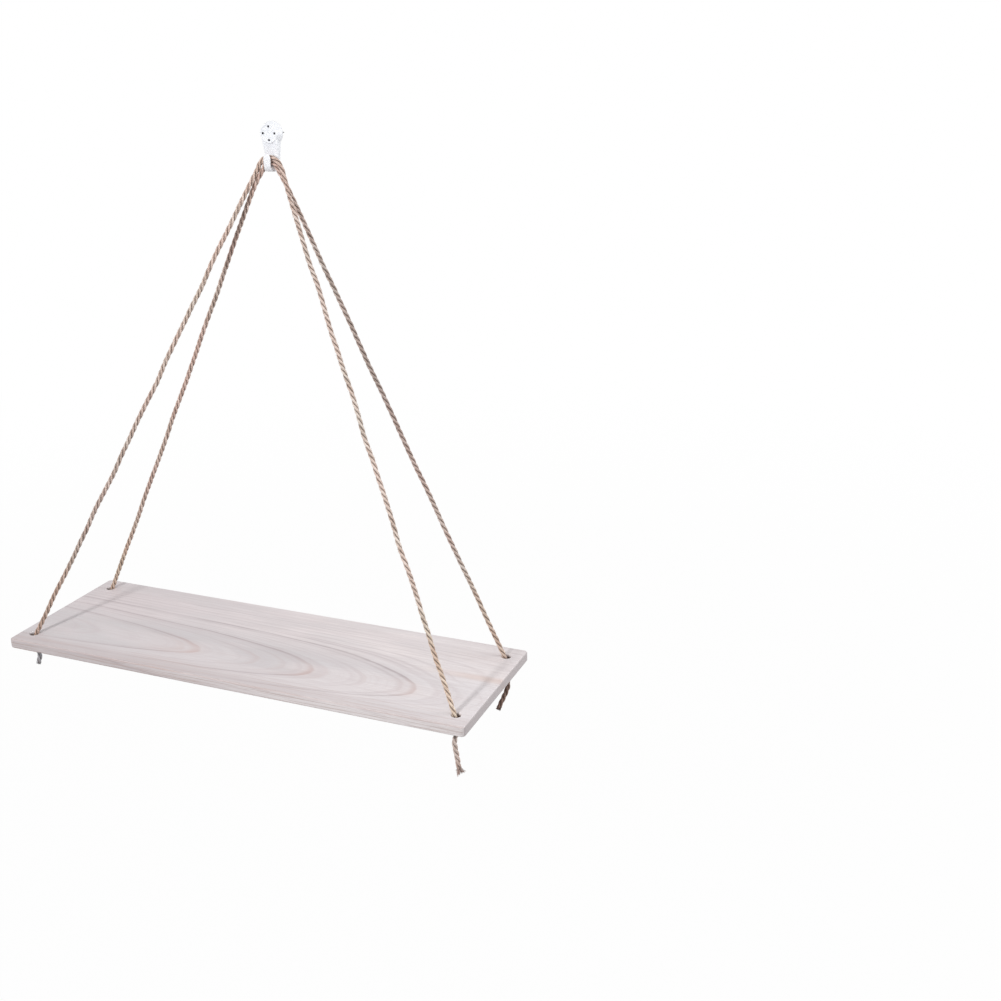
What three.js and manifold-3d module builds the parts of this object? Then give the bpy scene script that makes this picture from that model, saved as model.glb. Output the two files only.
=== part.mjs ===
// Hanging rope shelf: one board that hangs level from a single wall hook on two ropes.
// Each rope rises from a knot under one end of the board, bends over the hook and comes down to
// a knot under the other end. One rope carries the board's front edge and one its back edge.
// Millimetres, +Z up, +X to the right along the wall, +Y into the wall. The origin is on the
// wall, behind the middle of the hook's round head.

import * as THREE from "three";
import { mergeVertices } from "three/addons/utils/BufferGeometryUtils.js";
import Module from "manifold-3d";

// Board
const BOARD_LENGTH = 430;
const BOARD_DEPTH = 137.5;
const BOARD_THICKNESS = 8.4;
const BOARD_EDGE_RADIUS = 2;
const BOARD_CORNER_RADIUS = 3.5;
const HANG_DROP = 417; // from the middle of the hook's head down to the board's top
const HOLE_DIAMETER = 7.4;
const HOLE_EASING = 0.9; // width of the small bevel at both mouths of a rope hole
const HOLE_END_INSET = 13.5;
const HOLE_EDGE_INSET = 16.5;

// Rope
const ROPE_DIAMETER = 4;
const ROPE_STAGGER = 1.4; // how far in front of the lower rope the upper one lies on the hook
const ROPE_BEND_EASE = 0.8; // how much wider a stiff rope bends than the seat under it
const LEG_SAG = 1.7; // how far the middle of a leg hangs below a straight line
const HOLE_BEND_DEPTH = 3; // depth in the hole over which a leg turns from its lean to plumb
const KNOT_DIAMETER = 10.5;
const KNOT_HEIGHT = 9;

// Hook
const HEAD_DIAMETER = 18.8;
const HEAD_DEPTH = 7;
const HEAD_SKIRT = 1.4; // straight edge of the head next to the wall
const FACE_DIAMETER = 14.8;
const RIM_WIDTH = 0.9;
const RIM_HEIGHT = 0.5;
const DIMPLE_DIAMETER = 2.2;
const DIMPLE_DEPTH = 0.6;
const HOOK_DROP = 29.2; // from the middle of the head down to the foot of the hook
const PLATE_THICKNESS = 4.3;
const SHOULDER_WIDTH = 14.6; // width of the body behind the head
const WAIST_WIDTH = 11.8; // width of the body just above the ropes
const FOOT_WIDTH = 7.6;
const FOOT_CORNER_RADIUS = 1.2;
const SADDLE_RADIUS = 3.6; // round top of the bar that the ropes sit on
const SADDLE_BASE = 1.2; // height of the bar below its round top
const ARM_WIDTH = 6;
const ARM_THICKNESS = 1.9;
const ARM_LIP = 0.5; // how far the arm stands above the upper rope
const ARM_EDGE_RADIUS = 0.6;
const TOE_RADIUS = 2.4; // round of the foot in side view
const PIN_CIRCLE_DIAMETER = 10.4;
const PIN_DIAMETER = 1.1;
const PIN_LENGTH = 15;
const PIN_POINT = 2.2;
const PIN_SINK = 0.4; // depth of a pin's end below the face it was driven through

// Clearances
const TOUCH_GAP = 0.3; // between pieces that rest on each other
const MOUTH_CLEARANCE = 0.4; // beside a rope, on each side of the hook's mouth
const OVERRUN = 1; // how far a cutting tool stands past what it cuts

// Facets
const ROPE_SIDES = 12;
const ROPE_BEND_STEPS = 12;
const HOLE_BEND_STEPS = 4;
const LEG_STEPS = 8;
const TAIL_STEPS = 6;
const ROUND_SIDES = 40;
const HOLE_SIDES = 24;
const PIN_SIDES = 12;
const KNOT_SIDES = 16;
const KNOT_RINGS = 12;
const BOARD_EDGE_STEPS = 3;
const ARM_EDGE_STEPS = 2;
// An arc in a drawn shape gets two flats for each of these.
const ROPE_ARC_PAIRS = ROPE_SIDES / 2;
const CORNER_ARC_PAIRS = 2;
const ARM_ARC_PAIRS = 6;
const SADDLE_ARC_PAIRS = 8;

// Shares of a knot's own size
const KNOT_FLAT_SHARE = 0.6; // flat top and bottom, of the knot's radius
const KNOT_WAIST_SHARE = 0.13; // how far the waist between its two turns draws in

const ropeRadius = ROPE_DIAMETER / 2;
const mouthDepth = ROPE_DIAMETER + ROPE_STAGGER + 2 * MOUTH_CLEARANCE;
const armBackY = -PLATE_THICKNESS - mouthDepth;
const saddleZ = -HOOK_DROP + SADDLE_BASE;
const lowerBend = SADDLE_RADIUS + TOUCH_GAP + ropeRadius + ROPE_BEND_EASE;
const ropePitch = ROPE_DIAMETER + TOUCH_GAP;
const upperBend = lowerBend + Math.sqrt(ropePitch ** 2 - ROPE_STAGGER ** 2);
const swingZ = saddleZ - ROPE_BEND_EASE; // both ropes bend around this level
const ropesTopZ = swingZ + upperBend + ropeRadius;
const boardTopZ = -HANG_DROP;
const boardBottomZ = boardTopZ - BOARD_THICKNESS;
const boardBackY = -TOUCH_GAP;
const holeX = BOARD_LENGTH / 2 - HOLE_END_INSET;
const holeY = {
  front: boardBackY - BOARD_DEPTH + HOLE_EDGE_INSET,
  back: boardBackY - HOLE_EDGE_INSET,
};
const sideX = { left: -1, right: 1 };
// Where each rope crosses the hook: its place in the mouth and the radius of its bend.
const seat = {
  front: { y: armBackY + MOUTH_CLEARANCE + ropeRadius, bend: upperBend },
  back: { y: -PLATE_THICKNESS - MOUTH_CLEARANCE - ropeRadius, bend: lowerBend },
};

// Free rope ends, from the bend under each knot, in millimetres. Chosen by eye.
const TAIL_POINTS = {
  front_left: [
    [1.6, 1.2, 0],
    [1.3, 0.7, -3],
    [0.9, 0.1, -6],
    [0.3, -0.5, -9.6],
  ],
  front_right: [
    [0, 0, 0],
    [-0.2, -0.2, -3.5],
    [0.2, -0.4, -8],
    [0.6, -0.6, -13],
    [1, -0.7, -18.5],
    [1.4, -0.7, -24.5],
    [1.9, -0.6, -30.5],
  ],
  back_left: [
    [0, 0, 0],
    [0.6, -0.6, -4],
    [1.7, -1.5, -8.5],
    [3.1, -2.4, -13],
    [4.8, -3.2, -17.5],
    [6.6, -3.9, -22],
  ],
  back_right: [
    [0, 0, 0],
    [1, -0.3, -3],
    [0.6, -0.9, -6.5],
    [-0.5, -2.4, -10.4],
    [-2.3, -5.4, -15.6],
    [-4, -8.3, -19.6],
    [-5.6, -11.2, -23.5],
  ],
};

const wasm = await Module();
wasm.setup();

// A solid made from a closed geometry, for joining and cutting.
function solid(geometry) {
  const bare = geometry.clone();
  bare.deleteAttribute("normal");
  bare.deleteAttribute("uv");
  const merged = mergeVertices(bare, TOUCH_GAP * 1e-3);
  return new wasm.Manifold(
    new wasm.Mesh({
      numProp: 3,
      vertProperties: new Float32Array(merged.attributes.position.array),
      triVerts: new Uint32Array(merged.index.array),
    }),
  );
}

// The geometry of a solid.
function geometryOf(made) {
  const mesh = made.getMesh();
  const geometry = new THREE.BufferGeometry();
  geometry.setAttribute("position", new THREE.BufferAttribute(mesh.vertProperties, mesh.numProp));
  geometry.setIndex(new THREE.BufferAttribute(mesh.triVerts, 1));
  geometry.computeVertexNormals();
  return geometry;
}

function extrude(shape, depth, options = {}) {
  return new THREE.ExtrudeGeometry(shape, { depth, bevelEnabled: false, ...options });
}

// A shape drawn in X and Z, made as deep as asked towards the front of the shelf.
function frontPlate(shape, depth, options) {
  return extrude(shape, depth, options).rotateX(Math.PI / 2);
}

// A shape drawn in Y and Z, made as wide as asked and centred on the shelf's middle.
function sideSlice(shape, width) {
  const turn = new THREE.Matrix4().makeBasis(
    new THREE.Vector3(0, 1, 0),
    new THREE.Vector3(0, 0, 1),
    new THREE.Vector3(1, 0, 0),
  );
  return extrude(shape, width).translate(0, 0, -width / 2).applyMatrix4(turn);
}

// A round piece from its outline of radius and height, standing along +Z.
function turned(points, sides) {
  const outline = points.map(([radius, height]) => new THREE.Vector2(radius, height));
  return new THREE.LatheGeometry(outline, sides).rotateX(Math.PI / 2);
}

// A run of rope through points, with one ring of the tube at each point.
class RopeRun extends THREE.Curve {
  constructor(points) {
    super();
    this.points = points;
  }
  getPoint(t, target = new THREE.Vector3()) {
    const place = t * (this.points.length - 1);
    const before = Math.min(Math.floor(place), this.points.length - 2);
    return target.lerpVectors(this.points[before], this.points[before + 1], place - before);
  }
  getUtoTmapping(u) {
    return u;
  }
}

function ropeTube(points) {
  const section = new THREE.Shape();
  section.absarc(0, 0, ropeRadius, 0, 2 * Math.PI);
  return new THREE.ExtrudeGeometry(section, {
    curveSegments: ROPE_ARC_PAIRS,
    steps: points.length - 1,
    bevelEnabled: false,
    extrudePath: new RopeRun(points),
  });
}

// A rope with a round upper end, so that it can turn under the piece above it.
function roundEndedRope(points) {
  const ball = new THREE.SphereGeometry(ropeRadius, ROPE_SIDES, ROPE_SIDES);
  ball.translate(points[0].x, points[0].y, points[0].z);
  return geometryOf(solid(ropeTube(points)).add(solid(ball)));
}

function boardOutline() {
  const halfLength = BOARD_LENGTH / 2;
  const halfDepth = BOARD_DEPTH / 2;
  const r = BOARD_CORNER_RADIUS;
  const outline = new THREE.Shape();
  outline.moveTo(-halfLength + r, -halfDepth);
  outline.lineTo(halfLength - r, -halfDepth);
  outline.absarc(halfLength - r, -halfDepth + r, r, -Math.PI / 2, 0);
  outline.lineTo(halfLength, halfDepth - r);
  outline.absarc(halfLength - r, halfDepth - r, r, 0, Math.PI / 2);
  outline.lineTo(-halfLength + r, halfDepth);
  outline.absarc(-halfLength + r, halfDepth - r, r, Math.PI / 2, Math.PI);
  outline.lineTo(-halfLength, -halfDepth + r);
  outline.absarc(-halfLength + r, -halfDepth + r, r, Math.PI, 1.5 * Math.PI);
  return outline;
}

// The hole that a rope passes through, bevelled at both mouths.
function holeTool() {
  const r = HOLE_DIAMETER / 2;
  const mouth = r + HOLE_EASING + OVERRUN;
  return turned(
    [
      [0, -BOARD_THICKNESS - OVERRUN],
      [mouth, -BOARD_THICKNESS - OVERRUN],
      [r, -BOARD_THICKNESS + HOLE_EASING],
      [r, -HOLE_EASING],
      [mouth, OVERRUN],
      [0, OVERRUN],
    ],
    HOLE_SIDES,
  );
}

function shelfBoard() {
  const slab = extrude(boardOutline(), BOARD_THICKNESS - 2 * BOARD_EDGE_RADIUS, {
    bevelEnabled: true,
    bevelThickness: BOARD_EDGE_RADIUS,
    bevelSize: BOARD_EDGE_RADIUS,
    bevelOffset: -BOARD_EDGE_RADIUS,
    bevelSegments: BOARD_EDGE_STEPS,
    curveSegments: CORNER_ARC_PAIRS,
  });
  slab.translate(0, boardBackY - BOARD_DEPTH / 2, boardBottomZ + BOARD_EDGE_RADIUS);
  let board = solid(slab);
  for (const side of Object.values(sideX)) {
    for (const y of Object.values(holeY)) {
      board = board.subtract(solid(holeTool().translate(side * holeX, y, boardTopZ)));
    }
  }
  return geometryOf(board);
}

// The angle from the top of the bend at which a rope leaves it in a straight line for its hole.
function leaveAngle(bend) {
  const across = holeX;
  const down = swingZ - (boardTopZ - HOLE_BEND_DEPTH / 2);
  return Math.atan2(down, across) + Math.asin(bend / Math.hypot(across, down));
}

function onBend({ y, bend }, angle) {
  return new THREE.Vector3(bend * Math.sin(angle), y, swingZ + bend * Math.cos(angle));
}

// The part of a rope that bends over the hook.
function ropeTop(on) {
  const most = leaveAngle(on.bend);
  const points = [];
  for (let i = 0; i <= ROPE_BEND_STEPS; i += 1) {
    points.push(onBend(on, most * ((2 * i) / ROPE_BEND_STEPS - 1)));
  }
  return ropeTube(points);
}

// Where a leg starts: half a rope and a gap past the end of the bend, in line with it.
function legStart(side, on) {
  const angle = leaveAngle(on.bend);
  const past = ropeRadius + TOUCH_GAP;
  const start = onBend(on, angle);
  start.x += past * Math.cos(angle);
  start.z -= past * Math.sin(angle);
  start.x *= side;
  return start;
}

// A leg sags a little on its way to its hole, turns plumb in it and ends at the board's underside.
function ropeLeg(side, y, on) {
  const start = legStart(side, on);
  const hole = new THREE.Vector3(side * holeX, y, boardTopZ);
  const aim = hole.clone();
  aim.z -= HOLE_BEND_DEPTH / 2;
  const lean = start.clone().sub(aim);
  lean.multiplyScalar(HOLE_BEND_DEPTH / 2 / lean.z);
  lean.z = 0;
  const entry = hole.clone().add(lean);
  const points = [];
  for (let i = 0; i < LEG_STEPS; i += 1) {
    const share = i / LEG_STEPS;
    const point = start.clone().lerp(entry, share);
    point.z -= LEG_SAG * (1 - (2 * share - 1) ** 2);
    points.push(point);
  }
  for (let i = 0; i <= HOLE_BEND_STEPS; i += 1) {
    const share = i / HOLE_BEND_STEPS;
    const point = hole.clone().addScaledVector(lean, (1 - share) ** 2);
    point.z -= share * HOLE_BEND_DEPTH;
    points.push(point);
  }
  points.push(new THREE.Vector3(hole.x, hole.y, boardBottomZ));
  return roundEndedRope(points);
}

// An overhand knot as a round lump of two turns, with its flat top against the board.
function knot() {
  const radius = KNOT_DIAMETER / 2;
  const flat = radius * KNOT_FLAT_SHARE;
  const outline = [[0, -KNOT_HEIGHT]];
  for (let i = 0; i <= KNOT_RINGS; i += 1) {
    const share = i / KNOT_RINGS;
    const bulge = Math.sqrt(1 - Math.abs(2 * share - 1) ** 3);
    const waist = 1 - (KNOT_WAIST_SHARE * (1 + Math.cos(4 * Math.PI * share))) / 2;
    outline.push([flat + (radius - flat) * bulge * waist, (share - 1) * KNOT_HEIGHT]);
  }
  outline.push([0, 0]);
  return turned(outline, KNOT_SIDES);
}

// The free end of a rope below its knot.
function ropeTail(points) {
  const curve = new THREE.CatmullRomCurve3(points.map((point) => new THREE.Vector3(...point)));
  return roundEndedRope(curve.getSpacedPoints(TAIL_STEPS));
}

// The hook's round head: a low cone with a raised rim round its face and a dimple in the middle.
function hookHead() {
  const face = FACE_DIAMETER / 2;
  const sunk = HEAD_DEPTH - RIM_HEIGHT;
  const head = turned(
    [
      [0, 0],
      [HEAD_DIAMETER / 2, 0],
      [HEAD_DIAMETER / 2, HEAD_SKIRT],
      [face, HEAD_DEPTH],
      [face - RIM_WIDTH, HEAD_DEPTH],
      [face - RIM_WIDTH, sunk],
      [DIMPLE_DIAMETER / 2, sunk],
      [0, sunk - DIMPLE_DEPTH],
    ],
    ROUND_SIDES,
  );
  return solid(head.rotateX(Math.PI / 2));
}

// The hook's body seen from the front: it narrows from the head to the foot.
function bodyOutline() {
  const foot = FOOT_WIDTH / 2;
  const r = FOOT_CORNER_RADIUS;
  const outline = new THREE.Shape();
  outline.moveTo(-SHOULDER_WIDTH / 2, 0);
  outline.lineTo(-WAIST_WIDTH / 2, ropesTopZ);
  outline.lineTo(-foot, -HOOK_DROP + r);
  outline.absarc(-foot + r, -HOOK_DROP + r, r, Math.PI, 1.5 * Math.PI);
  outline.absarc(foot - r, -HOOK_DROP + r, r, 1.5 * Math.PI, 2 * Math.PI);
  outline.lineTo(WAIST_WIDTH / 2, ropesTopZ);
  outline.lineTo(SHOULDER_WIDTH / 2, 0);
  return outline;
}

// The body seen from the side: as deep as the head above, sloping back to the plate over the mouth.
function bodySlope() {
  const slope = new THREE.Shape();
  slope.moveTo(OVERRUN, OVERRUN);
  slope.lineTo(-HEAD_DEPTH + RIM_HEIGHT + DIMPLE_DEPTH, 0);
  slope.lineTo(-HEAD_DEPTH + RIM_HEIGHT + DIMPLE_DEPTH, -FACE_DIAMETER / 2);
  slope.lineTo(-PLATE_THICKNESS, ropesTopZ + TOUCH_GAP);
  slope.lineTo(-PLATE_THICKNESS, -HOOK_DROP - OVERRUN);
  slope.lineTo(OVERRUN, -HOOK_DROP - OVERRUN);
  return slope;
}

// The bar under the ropes: a round top on a short straight base, seen from the front.
function saddleOutline() {
  const outline = new THREE.Shape();
  outline.moveTo(-SADDLE_RADIUS, -HOOK_DROP);
  outline.lineTo(SADDLE_RADIUS, -HOOK_DROP);
  outline.absarc(0, saddleZ, SADDLE_RADIUS, 0, Math.PI);
  return outline;
}

// The arm in front of the ropes, with a half-round tip, seen from the front.
function armOutline() {
  const half = ARM_WIDTH / 2;
  const tip = ropesTopZ + ARM_LIP - half;
  const outline = new THREE.Shape();
  outline.moveTo(-SADDLE_RADIUS, -HOOK_DROP);
  outline.lineTo(SADDLE_RADIUS, -HOOK_DROP);
  outline.lineTo(half, saddleZ);
  outline.lineTo(half, tip);
  outline.absarc(0, tip, half, 0, Math.PI);
  outline.lineTo(-half, saddleZ);
  return outline;
}

// The foot and arm seen from the side, with a round toe.
function toeOutline() {
  const front = armBackY - ARM_THICKNESS;
  const outline = new THREE.Shape();
  outline.moveTo(-PLATE_THICKNESS + TOUCH_GAP, -HOOK_DROP);
  outline.lineTo(-PLATE_THICKNESS + TOUCH_GAP, OVERRUN);
  outline.lineTo(front, OVERRUN);
  outline.lineTo(front, -HOOK_DROP + TOE_RADIUS);
  outline.absarc(front + TOE_RADIUS, -HOOK_DROP + TOE_RADIUS, TOE_RADIUS, Math.PI, 1.5 * Math.PI);
  return outline;
}

function hookArm() {
  const arm = frontPlate(armOutline(), ARM_THICKNESS - 2 * ARM_EDGE_RADIUS, {
    bevelEnabled: true,
    bevelThickness: ARM_EDGE_RADIUS,
    bevelSize: ARM_EDGE_RADIUS,
    bevelOffset: -ARM_EDGE_RADIUS,
    bevelSegments: ARM_EDGE_STEPS,
    curveSegments: ARM_ARC_PAIRS,
  });
  arm.translate(0, armBackY - ARM_EDGE_RADIUS, 0);
  const barDepth = PLATE_THICKNESS + mouthDepth + ARM_THICKNESS - ARM_EDGE_RADIUS;
  const bar = frontPlate(saddleOutline(), barDepth, { curveSegments: SADDLE_ARC_PAIRS });
  const toe = sideSlice(toeOutline(), 2 * SADDLE_RADIUS + 2 * OVERRUN);
  return solid(arm).add(solid(bar)).intersect(solid(toe));
}

function pinPlaces() {
  const r = PIN_CIRCLE_DIAMETER / 2;
  return {
    top: [0, r],
    left: [-r, 0],
    right: [r, 0],
    bottom: [0, -r],
  };
}

function hookBody() {
  const front = frontPlate(bodyOutline(), HEAD_DEPTH, { curveSegments: CORNER_ARC_PAIRS });
  const body = solid(front).intersect(
    solid(sideSlice(bodySlope(), SHOULDER_WIDTH + 2 * OVERRUN)),
  );
  let hook = hookHead().add(body).add(hookArm());
  const bore = PIN_DIAMETER / 2 + TOUCH_GAP;
  const length = HEAD_DEPTH + 2 * OVERRUN;
  for (const [x, z] of Object.values(pinPlaces())) {
    const drill = new THREE.CylinderGeometry(bore, bore, length, PIN_SIDES);
    drill.translate(x, -HEAD_DEPTH / 2, z);
    hook = hook.subtract(solid(drill));
  }
  return geometryOf(hook);
}

// A steel pin, pointed at the end that is driven into the wall.
function hookPin() {
  const r = PIN_DIAMETER / 2;
  const front = -HEAD_DEPTH + RIM_HEIGHT + PIN_SINK;
  const pin = turned(
    [
      [0, 0],
      [r, 0],
      [r, PIN_LENGTH - PIN_POINT],
      [0, PIN_LENGTH],
    ],
    PIN_SIDES,
  );
  return pin.rotateX(-Math.PI / 2).translate(0, front, 0);
}

const finishes = {
  whitewashedWood: { color: 0xd6d0cd, roughness: 0.62, metalness: 0 },
  jute: { color: 0xc3a184, roughness: 0.95, metalness: 0 },
  whitePlastic: { color: 0xf2f2f0, roughness: 0.35, metalness: 0 },
  pinSteel: { color: 0x8c8d90, roughness: 0.35, metalness: 0.9 },
};

function piece(name, geometry, finish, place = [0, 0, 0]) {
  const mesh = new THREE.Mesh(geometry, new THREE.MeshStandardMaterial(finishes[finish]));
  mesh.name = name;
  mesh.position.set(...place);
  return mesh;
}

function wallHook() {
  const hook = new THREE.Group();
  hook.add(piece("hook_body", hookBody(), "whitePlastic"));
  for (const [where, [x, z]] of Object.entries(pinPlaces())) {
    hook.add(piece(`hook_pin_${where}`, hookPin(), "pinSteel", [x, 0, z]));
  }
  return hook;
}

// One rope of the two: its bend over the hook, and a leg, a knot and a free end on each side.
function rope(row) {
  const on = seat[row];
  const group = new THREE.Group();
  group.add(piece(`${row}_rope_top`, ropeTop(on), "jute"));
  for (const [side, sign] of Object.entries(sideX)) {
    const under = [sign * holeX, holeY[row], boardBottomZ - TOUCH_GAP];
    const knotBottom = under[2] - KNOT_HEIGHT - TOUCH_GAP - ropeRadius;
    const tail = ropeTail(TAIL_POINTS[`${row}_${side}`]);
    group.add(piece(`${row}_rope_${side}_leg`, ropeLeg(sign, holeY[row], on), "jute"));
    group.add(piece(`${row}_${side}_knot`, knot(), "jute", under));
    group.add(piece(`${row}_${side}_tail`, tail, "jute", [under[0], under[1], knotBottom]));
  }
  return group;
}

const shelf = new THREE.Group();
shelf.add(wallHook());
shelf.add(piece("shelf_board", shelfBoard(), "whitewashedWood"));
for (const row of Object.keys(holeY)) {
  shelf.add(rope(row));
}

export default shelf;
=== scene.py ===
# %% [markdown]
# # A board on two ropes, hung from one hook
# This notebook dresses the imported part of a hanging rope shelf. The part gives the sizes, and the
# cells below give the surfaces: laid jute rope, whitewashed wood, moulded plastic and steel.
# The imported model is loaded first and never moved, so each new piece is made where the part
# already is. Lengths are metres, +Z is up, and the wall is the plane Y = 0.

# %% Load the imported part
import math

import bmesh
import bpy
import numpy as np
from mathutils import Matrix, Vector


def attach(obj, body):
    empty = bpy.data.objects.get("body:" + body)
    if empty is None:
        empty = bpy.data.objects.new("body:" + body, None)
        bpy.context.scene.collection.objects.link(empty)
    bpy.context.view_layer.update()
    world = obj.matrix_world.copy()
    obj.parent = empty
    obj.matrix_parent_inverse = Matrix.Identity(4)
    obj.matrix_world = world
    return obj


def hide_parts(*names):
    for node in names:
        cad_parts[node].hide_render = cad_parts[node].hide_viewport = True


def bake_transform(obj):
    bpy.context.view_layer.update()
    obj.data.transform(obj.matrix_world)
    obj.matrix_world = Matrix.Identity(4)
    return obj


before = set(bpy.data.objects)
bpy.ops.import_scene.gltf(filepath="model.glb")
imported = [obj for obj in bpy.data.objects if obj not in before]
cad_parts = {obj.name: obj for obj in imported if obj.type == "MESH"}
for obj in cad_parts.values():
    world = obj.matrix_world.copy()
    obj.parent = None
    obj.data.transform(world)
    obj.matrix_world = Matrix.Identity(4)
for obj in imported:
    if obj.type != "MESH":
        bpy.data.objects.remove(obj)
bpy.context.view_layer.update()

MM = 0.001

# %% [markdown]
# ## The camera
# The viewpoint was found by fitting the board's corners, the four rope holes and the hook to
# where they are in the picture. It stands to the right of the shelf and above it, looks down
# and to the left, and is rolled by half a degree. A focal length in pixels turns into a lens
# once the width of the sensor is set against the width of the picture.

# %% Camera
PICTURE_PIXELS = 1001
FOCAL_PIXELS = 1261.56
SENSOR_WIDTH = 36.0
CAMERA_PLACE = (0.55176, -0.89661, 0.06489)
CAMERA_TURN_LEFT, CAMERA_LOOK_DOWN, CAMERA_ROLL = 21.9244, 19.9231, -0.5851

camera = bpy.data.objects.new("Camera", bpy.data.cameras.new("Camera"))
bpy.context.scene.collection.objects.link(camera)
camera.data.sensor_width = SENSOR_WIDTH
camera.data.lens = FOCAL_PIXELS * SENSOR_WIDTH / PICTURE_PIXELS
turns = ((CAMERA_TURN_LEFT, "Z"), (90 - CAMERA_LOOK_DOWN, "X"), (CAMERA_ROLL, "Z"))
aim = Matrix.Identity(4)
for degrees, axis in turns:
    aim = aim @ Matrix.Rotation(math.radians(degrees), 4, axis)
camera.matrix_world = Matrix.Translation(CAMERA_PLACE) @ aim
bpy.context.scene.camera = camera
print("lens", round(camera.data.lens, 2), "mm")

# %% [markdown]
# ## Where the ropes run
# Each rope is one length of jute. It rises from under the left end of the board, bends over the
# hook and goes down to the right end. The front rope carries the board's front edge and lies on
# top of the back rope in the hook. The route repeats the part's own rule: an arc over the hook,
# a leg that sags by less than 2 mm, and a short turn to plumb inside the hole. A pulled rope
# leans on the inner side of its hole, so it sits off the hole's middle. Jute is stiff too: each
# leg leaves the hook on its own slow bow of up to 3 mm, and wanders a little. The board's top
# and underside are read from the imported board.

# %% Rope route
def node_box(name):
    """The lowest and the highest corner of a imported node, to a thousandth of a millimetre."""
    places = np.array([vert.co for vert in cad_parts[name].data.vertices])
    return places.min(axis=0).round(6).tolist(), places.max(axis=0).round(6).tolist()


BOARD_LOW, BOARD_HIGH = node_box("shelf_board")
BOARD_BOTTOM, BOARD_TOP = BOARD_LOW[2], BOARD_HIGH[2]
ROPE_DIAMETER = 4 * MM
HOLE_X = 201.5 * MM
HOLE_Y = {"front": -121.3 * MM, "back": -16.8 * MM}
LEAN_IN = 1.1 * MM
BEND_LEVEL = -28.8 * MM
SEAT_Y = {"front": -7.85 * MM, "back": -6.95 * MM}
BEND_RADIUS = {"front": 10.66 * MM, "back": 6.7 * MM}
PAST_BEND = 2.3 * MM
LEG_SAG = 1.7 * MM
HOLE_TURN = 3 * MM
LEG_POINTS, TURN_POINTS, BEND_POINTS = 300, 12, 60
ROUTE_STEP, ROUTE_EASING = 0.7 * MM, 8
# How far the left and the right leg of each rope bow sideways, and how soon below the bend.
BOWS = {"front": (-1.8 * MM, -1.8 * MM), "back": (-3.2 * MM, 1.4 * MM)}
BOW_START = {"front": 0.08, "back": 0.02}
# The wander of the longest wave; shorter waves are as much smaller as they are shorter.
WANDER = 0.32 * MM
WANDER_WAVES = (83 * MM, 47 * MM, 29 * MM)
WANDER_TOP, WANDER_FADE = -50 * MM, 50 * MM


def distances(route):
    """How far along the route each of its points is."""
    gaps = np.linalg.norm(np.diff(route, axis=0), axis=1)
    return np.concatenate([[0], np.cumsum(gaps)])


def length_of(route):
    return float(distances(route)[-1])


def evenly(route, step):
    """The same route with its points one step apart."""
    along = distances(route)
    places = np.linspace(0, along[-1], max(2, round(along[-1] / step) + 1))
    return np.stack([np.interp(places, along, route[:, k]) for k in range(3)], axis=1)


def eased(route, times):
    """The same route with its corners rounded and its ends kept."""
    route = route.copy()
    for _ in range(times):
        route[1:-1] = (route[:-2] + 2 * route[1:-1] + route[2:]) / 4
    return route


def leave_angle(bend):
    """The angle from the top of the bend at which the rope leaves it for its hole."""
    down, beside = BEND_LEVEL - (BOARD_TOP - HOLE_TURN / 2), HOLE_X - LEAN_IN
    return math.atan2(down, beside) + math.asin(bend / math.hypot(beside, down))


def leg_route(row, side):
    """One leg, from just past the bend down to the board's underside."""
    bend = BEND_RADIUS[row]
    angle = leave_angle(bend)
    start = np.array([
        bend * math.sin(angle) + PAST_BEND * math.cos(angle),
        SEAT_Y[row],
        BEND_LEVEL + bend * math.cos(angle) - PAST_BEND * math.sin(angle),
    ])
    hole = np.array([HOLE_X - LEAN_IN, HOLE_Y[row], BOARD_TOP])
    lean = start - hole + [0, 0, HOLE_TURN / 2]
    lean *= HOLE_TURN / 2 / lean[2]
    lean[2] = 0
    share = np.linspace(0, 1, LEG_POINTS, endpoint=False)[:, None]
    leg = start + (hole + lean - start) * share
    leg[:, 2:] -= LEG_SAG * (1 - (2 * share - 1) ** 2)
    share = np.linspace(0, 1, TURN_POINTS)[:, None]
    turn = hole + lean * (1 - share) ** 2 - share * [0, 0, HOLE_TURN]
    leg = np.vstack([leg, turn, [[HOLE_X - LEAN_IN, HOLE_Y[row], BOARD_BOTTOM]]])
    return leg * [side, 1, 1]


def wandering(route, seed):
    """The route with slow waves added where it hangs clear of the hook and the board."""
    route, along = route.copy(), np.linspace(0, length_of(route), len(route))
    random = np.random.default_rng(seed)
    room = np.minimum(route[:, 2] - BOARD_TOP, WANDER_TOP - route[:, 2])
    free = np.clip(room / WANDER_FADE, 0, 1)
    for wave in WANDER_WAVES:
        for axis in (0, 1):
            phase = random.uniform(0, 2 * math.pi)
            sway = np.sin(2 * math.pi * along / wave + phase)
            route[:, axis] += WANDER * wave / WANDER_WAVES[0] * sway * free
    return route


def rope_route(row, seed):
    """The whole run of one rope between the undersides of its two holes."""
    most = leave_angle(BEND_RADIUS[row])
    angles = np.linspace(-most, most, BEND_POINTS)
    over = np.stack([np.sin(angles), np.zeros(BEND_POINTS), np.cos(angles)], axis=1)
    over = over * BEND_RADIUS[row] + [0, SEAT_Y[row], BEND_LEVEL]
    route = np.vstack([leg_route(row, -1)[::-1], over, leg_route(row, 1)])
    route = eased(evenly(route, ROUTE_STEP), ROUTE_EASING)
    down = np.clip((BEND_LEVEL - route[:, 2]) / (BEND_LEVEL - BOARD_TOP), 0, 1)
    bow = (1 - down) * (1 - np.exp(-down / BOW_START[row]))
    for side, reach in zip((-1, 1), BOWS[row]):
        route[:, 0] += reach * bow * (route[:, 0] * side > 0)
    return evenly(wandering(route, seed), ROUTE_STEP)


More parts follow.
